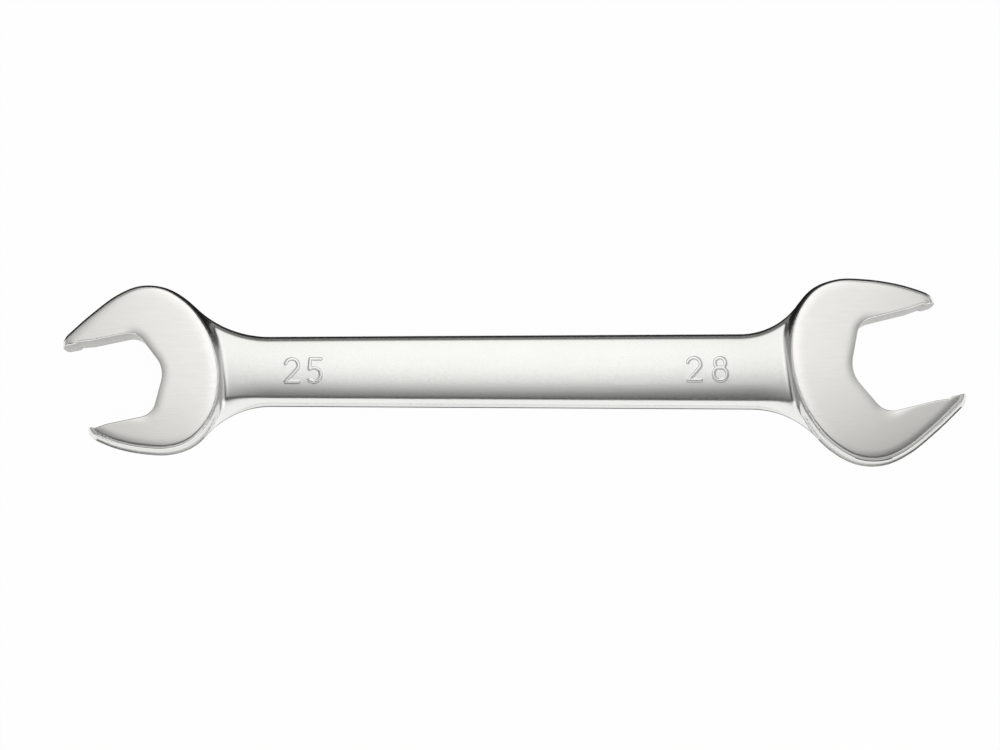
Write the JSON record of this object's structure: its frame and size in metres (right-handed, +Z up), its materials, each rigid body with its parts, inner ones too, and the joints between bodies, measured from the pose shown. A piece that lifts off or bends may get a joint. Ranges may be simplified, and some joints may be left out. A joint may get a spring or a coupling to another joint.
{
  "type": "open end wrench",
  "caption": "Double open end wrench, a forged flat shank with an angled hexagonal jaw at each end for metric nuts, in satin chrome.",
  "frame": {"origin": "Middle of the footprint, on the plane that the undersides of both heads lie on.", "axes": "+X runs along the shank towards the large head, +Y across the shank, +Z up out of the ground face."},
  "size_m": [0.2648, 0.0562, 0.0098],
  "materials": {
    "satin_chrome": "satin, bead blasted shank and ground heads"
  },
  "bodies": {
    "root": {"wrench_body": "satin_chrome"}
  },
  "joints": []
}
